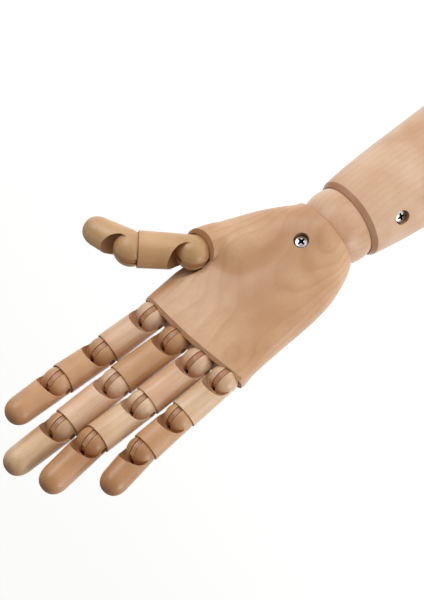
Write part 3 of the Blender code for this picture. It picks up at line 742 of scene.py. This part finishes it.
def makeForearm(screwPlace, surface):
    wrist = wristCentre[2]
    rim, mouth = forearm["length"], forearm["length"] + forearm["chamfer"]
    cup = palm["wristRadius"] + joint["gap"]
    lip = np.sqrt(cup ** 2 - (wrist - mouth) ** 2) + 0.2
    base = forearm["baseRadius"]
    heights = np.linspace(3, rim - 0.4, 60)
    side = np.stack([forearmRadius(heights), heights], -1)
    foot = rounded([(0.5 * base, 0), (base - 0.1, 0), side[0]], (1.2,), 8)
    corners = [side[-1], (forearmRadius(rim), rim), (lip, mouth), (0.5 * lip, mouth)]
    top = rounded(corners, (0.35, 0.2), 5)
    profile = np.vstack([foot, side, top])
    piece = pieceFrom("forearm_piece", turned("forearm", profile, forearm["sides"]))
    carve(piece, ballMesh(cup, 192, 120), shift(0, 0, wrist))
    carve(piece, rodMesh(forearm["springBore"], wrist - forearm["screwDrop"] - 9, wrist))
    screwHole(piece, screwPlace, surface)
    place = Matrix.Identity(4)
    material = makeBeech("forearm_beech", "pink", place, (46.0, 20.0), 3, "forearm")
    finishPiece(piece, place, "forearm", "forearm", material, 32)


def makeWristBall():
    piece = pieceFrom("wrist_ball_piece", ballMesh(palm["wristRadius"], 192, 120))
    carve(piece, rodMesh(forearm["ballBore"], -30, 30))
    place = shift(*wristCentre)
    material = makeBeech("wrist_ball_beech", "pink", place, (20.0, 41.0), 9)
    finishPiece(piece, place, "wrist_ball", "wrist_ball", material, 40)


def makeScrew(name, place, surface):
    # A pan head: a turned profile with a domed top and a cross cut into it.
    top = surface - screw["recess"]
    under = top - screw["headHeight"]
    head, shank = screw["headRadius"], screw["shank"]
    a = np.radians(np.linspace(0, 88, 16))
    dome = np.stack([(head - 0.9) + 0.9 * np.cos(a), under + 1.1 + 0.75 * np.sin(a)], -1)
    crown = np.stack([np.linspace(head - 0.95, 0.4, 8), top - 0.34 * np.linspace(1, 0, 8) ** 2], -1)
    profile = np.vstack([[(0.05, top - screw["length"]), (shank, top - screw["length"] + 2.5),
                          (shank, under), (head - 0.2, under), (head, under + 0.2)], dome, crown])
    piece = pieceFrom(name + "_piece", turned(name, profile, 64))
    arm, web = screw["crossLength"] / 2, screw["crossWidth"] / 2
    quarter = np.array([(arm, -web * 0.7), (arm, web * 0.7), (web * 1.15, web * 1.15)])
    quarters = [quarter @ np.array([(c, s), (-s, c)]) for c, s in ((1, 0), (0, 1), (-1, 0), (0, -1))]
    outline = np.vstack(quarters)
    carve(piece, plateMesh(outline, 2 * screw["crossDepth"]), shift(0, 0, top) @ turn("Y", 90))
    material = makeSteel(name + "_zinc", screw["zinc"], 0.20, place, top)
    finishPiece(piece, place, bodyOf[name], name, material, 35)


fingerFrames = {digit: digitFrames(digit) for digit in digits}
seed = 1
for digit, frames in fingerFrames.items():
    for index, (name, tongue) in enumerate(zip(segmentNames(digit), tongueNames(digit))):
        makeSegment(name, digit, index, frames, seed)
        makeTongue(tongue, digit, index, frames, seed + 20)
        keepPin(tongue.replace("_tongue", "_pin"), frames[index][0], seed + 40)
        seed += 1
    print("made", digit)

palmPlace = shift(*wristCentre) @ palm["tilt"]
high = palmPlace @ shift(0, 0, palm["screwHeight"])
outward = palmPlace.to_3x3() @ Vector((0, -1, 0))
sideways = palmPlace.to_3x3() @ Vector((-1, 0, 0))
palmScrewPlace = frameFrom(np.array(high.translation) * 1000, sideways, outward)
around = radians(forearm["screwTurn"])
outward = np.array((-np.sin(around), -np.cos(around), 0))
screwHeight = wristCentre[2] - forearm["screwDrop"]
forearmScrewPlace = frameFrom((0, 0, screwHeight), np.cross(outward, (0, 0, 1)), outward)
forearmSurface = forearmRadius(screwHeight)

makePalm(fingerFrames, palmScrewPlace)
print("made palm")
makeForearm(forearmScrewPlace, forearmSurface)
makeWristBall()
makeScrew("palm_screw", palmScrewPlace, palm["screwSurface"])
makeScrew("forearm_screw", forearmScrewPlace, forearmSurface)
spring = frame["nodes"]["wrist_spring"]
spring.data.materials.clear()
spring.data.materials.append(makeSteel("spring_wire", screw["wire"], 0.30, shift(*wristCentre)))
print("made forearm, wrist, screws and spring")


studio = dict(
    lookAt=(8.9, 9.6, 195.0), distance=960.0, azimuth=-21.13, elevation=19.41, roll=-123.9,
    focal=114.0,
    floor="#F7F6F4", floorGlow=0.70, floorReach=14.0,     # metres from the middle to each side
    sky=0.27,
    # name, place, width in metres, watts
    lamps=(("key", (-0.55, 0.85, 0.75), 0.9, 7.0), ("rim", (0.9, -0.7, 0.35), 0.8, 7.0)),
    lowestLamp=0.12)


def makeStudio():
    azimuth, elevation = radians(studio["azimuth"]), radians(studio["elevation"])
    level = np.cos(elevation)
    back = Vector((np.sin(azimuth) * level, -np.cos(azimuth) * level, np.sin(elevation)))
    right = Vector((0, 0, 1)).cross(back).normalized()
    upright = Matrix((right, back.cross(right), back)).transposed()
    axes = upright @ Matrix.Rotation(radians(studio["roll"]), 3, "Z")
    target = Vector(studio["lookAt"]) * mm
    data = bpy.data.cameras.new("camera")
    data.lens = studio["focal"]
    camera = bpy.data.objects.new("camera", data)
    bpy.context.scene.collection.objects.link(camera)
    camera.matrix_world = Matrix.Translation(target + back * studio["distance"] * mm) @ axes.to_4x4()
    bpy.context.scene.camera = camera

    reach = studio["floorReach"]
    mesh = bpy.data.meshes.new("floor")
    corners = [(-reach, -reach, 0), (reach, -reach, 0), (reach, reach, 0), (-reach, reach, 0)]
    mesh.from_pydata(corners, [], [(0, 1, 2, 3)])
    floor = pieceFrom("floor", mesh)
    # matt white background paper, bright enough to read as one even white ground
    material, tree, shader = newMaterial("white_paper")
    shader.inputs["Base Color"].default_value = linear(studio["floor"])
    shader.inputs["Roughness"].default_value = 0.9
    shader.inputs["Emission Color"].default_value = (1, 1, 1, 1)
    shader.inputs["Emission Strength"].default_value = studio["floorGlow"]
    floor.data.materials.append(material)

    world = bpy.data.worlds.new("studio")
    bpy.context.scene.world = world
    world.use_nodes = True
    world.node_tree.nodes["Background"].inputs["Color"].default_value = (1, 1, 1, 1)
    world.node_tree.nodes["Background"].inputs["Strength"].default_value = studio["sky"]
    # each lamp's place is right, up and towards the camera from the target, in metres
    for name, toLamp, size, power in studio["lamps"]:
        lamp = bpy.data.lights.new(name, "AREA")
        lamp.shape = "DISK"
        lamp.size = size
        lamp.energy = power
        holder = bpy.data.objects.new(name, lamp)
        bpy.context.scene.collection.objects.link(holder)
        place = target + axes @ Vector(toLamp)
        place.z = max(place.z, studio["lowestLamp"])
        holder.location = place
        holder.rotation_euler = (place - target).to_track_quat("Z", "Y").to_euler()
    bpy.context.scene.view_settings.view_transform = "Standard"


makeStudio()
print("made studio")
